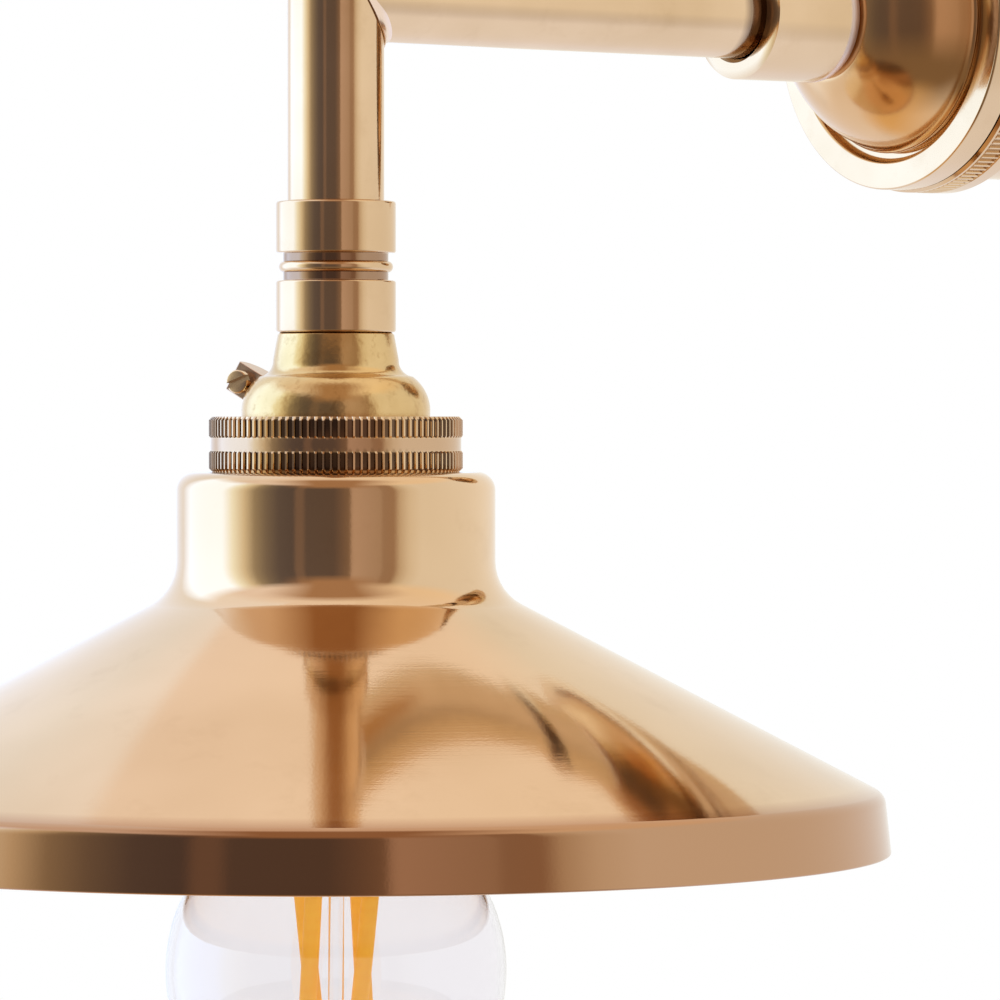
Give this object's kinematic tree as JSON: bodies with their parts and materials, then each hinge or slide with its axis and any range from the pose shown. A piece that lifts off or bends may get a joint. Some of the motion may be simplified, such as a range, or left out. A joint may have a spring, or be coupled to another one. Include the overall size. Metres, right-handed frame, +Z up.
{
  "type": "hanging pendant wall sconce",
  "caption": "Brass wall light: straight arm from a round wall base, drop tube, bayonet lampholder and a shallow cone shade over a globe bulb.",
  "frame": {"origin": "centre of the wall base's back face, on the arm's axis", "axes": "+Y into the wall, the arm runs along -Y into the room, +Z up, +X across"},
  "size_m": [0.1456, 0.1928, 0.1748],
  "materials": {
    "brass_tube": "polished",
    "brass_turned": "polished, turned",
    "brass_fluted": "polished, fluted",
    "brass_cast": "polished casting",
    "brass_small": "satin",
    "brass_spun": "polished, spun",
    "brass_inside": "plain",
    "rubber_bush": "matte",
    "insulator": "gloss",
    "bulb_insulator": "gloss",
    "spring_steel": "bright",
    "cap_metal": "satin",
    "solder": "dull",
    "clear_glass": "clear",
    "led_phosphor": "matte",
    "board": "matte",
    "wire_brown": "matte",
    "wire_blue": "matte",
    "wire_green": "matte"
  },
  "bodies": {
    "wall": {"wall_base": "brass_turned", "cable_grommet": "rubber_bush"},
    "lock_ring": {"lock_ring": "brass_fluted"},
    "arm": {"front_plate": "brass_turned", "bell_dome": "brass_turned", "arm_collar": "brass_turned", "wall_nipple": "brass_inside", "backing_washer": "brass_inside", "backing_nut": "brass_inside", "arm_tube": "brass_tube", "brazed_bead": "brass_small", "drop_tube": "brass_tube", "end_cap": "brass_turned", "coupler": "brass_turned", "drop_nipple": "brass_inside", "holder_cap": "brass_cast", "earth_lug": "brass_small", "holder_body": "brass_inside", "holder_insulator": "insulator", "terminal_live": "brass_inside", "terminal_neutral": "brass_inside", "terminal_screws": "brass_inside", "plunger_spring_live": "spring_steel", "plunger_spring_neutral": "spring_steel", "shade": "brass_spun", "wire_live": "wire_brown", "wire_neutral": "wire_blue", "wire_earth": "wire_green"},
    "cap_ring": {"cap_ring": "brass_fluted"},
    "shade_ring": {"shade_ring": "brass_fluted"},
    "earth_screw": {"earth_screw": "brass_small"},
    "bulb": {"bulb_cap": "cap_metal", "bulb_pin_left": "cap_metal", "bulb_pin_right": "cap_metal", "bulb_base": "bulb_insulator", "bulb_contact_live": "solder", "bulb_contact_neutral": "solder", "bulb_driver": "board", "bulb_glass": "clear_glass", "bulb_stem": "clear_glass", "led_filament_1": "led_phosphor", "led_filament_2": "led_phosphor", "led_filament_3": "led_phosphor", "led_filament_4": "led_phosphor", "filament_support_top": "spring_steel", "filament_support_foot": "spring_steel"},
    "plunger_live": {"plunger_live": "brass_inside"},
    "plunger_neutral": {"plunger_neutral": "brass_inside"}
  },
  "joints": [
    {"name": "arm_swivel", "type": "hinge", "parent": "wall", "child": "arm", "pos_m": [0, 0, 0], "axis": [0, 1, 0], "range_deg": [-30, 30]},
    {"name": "lock_ring_turn", "type": "hinge", "parent": "wall", "child": "lock_ring", "pos_m": [0, -0.0175, 0], "axis": [0, 1, 0], "continuous": true},
    {"name": "cap_ring_turn", "type": "hinge", "parent": "arm", "child": "cap_ring", "pos_m": [0, -0.12, -0.059], "axis": [0, 0, 1], "continuous": true},
    {"name": "shade_ring_turn", "type": "hinge", "parent": "arm", "child": "shade_ring", "pos_m": [0, -0.12, -0.066], "axis": [0, 0, 1], "continuous": true},
    {"name": "earth_screw_turn", "type": "hinge", "parent": "arm", "child": "earth_screw", "pos_m": [-0.01133, -0.1261, -0.05104], "axis": [0.4741, -0.8805, 0], "continuous": true},
    {"name": "bulb_press", "type": "slide", "parent": "arm", "child": "bulb", "axis": [0, 0, 1], "range_m": [0, 0.002], "stiffness_N_per_m": 1500, "springref_m": -0.003},
    {"name": "plunger_live_slide", "type": "slide", "parent": "arm", "child": "plunger_live", "axis": [0, 0, 1], "range_m": [0, 0.002], "deforming": ["plunger_spring_live"]},
    {"name": "plunger_neutral_slide", "type": "slide", "parent": "arm", "child": "plunger_neutral", "axis": [0, 0, 1], "range_m": [0, 0.002], "deforming": ["plunger_spring_neutral"]}
  ],
  "couplings": [
    {"joint": "plunger_live_slide", "follows": "bulb_press", "ratio": 1},
    {"joint": "plunger_neutral_slide", "follows": "bulb_press", "ratio": 1}
  ]
}
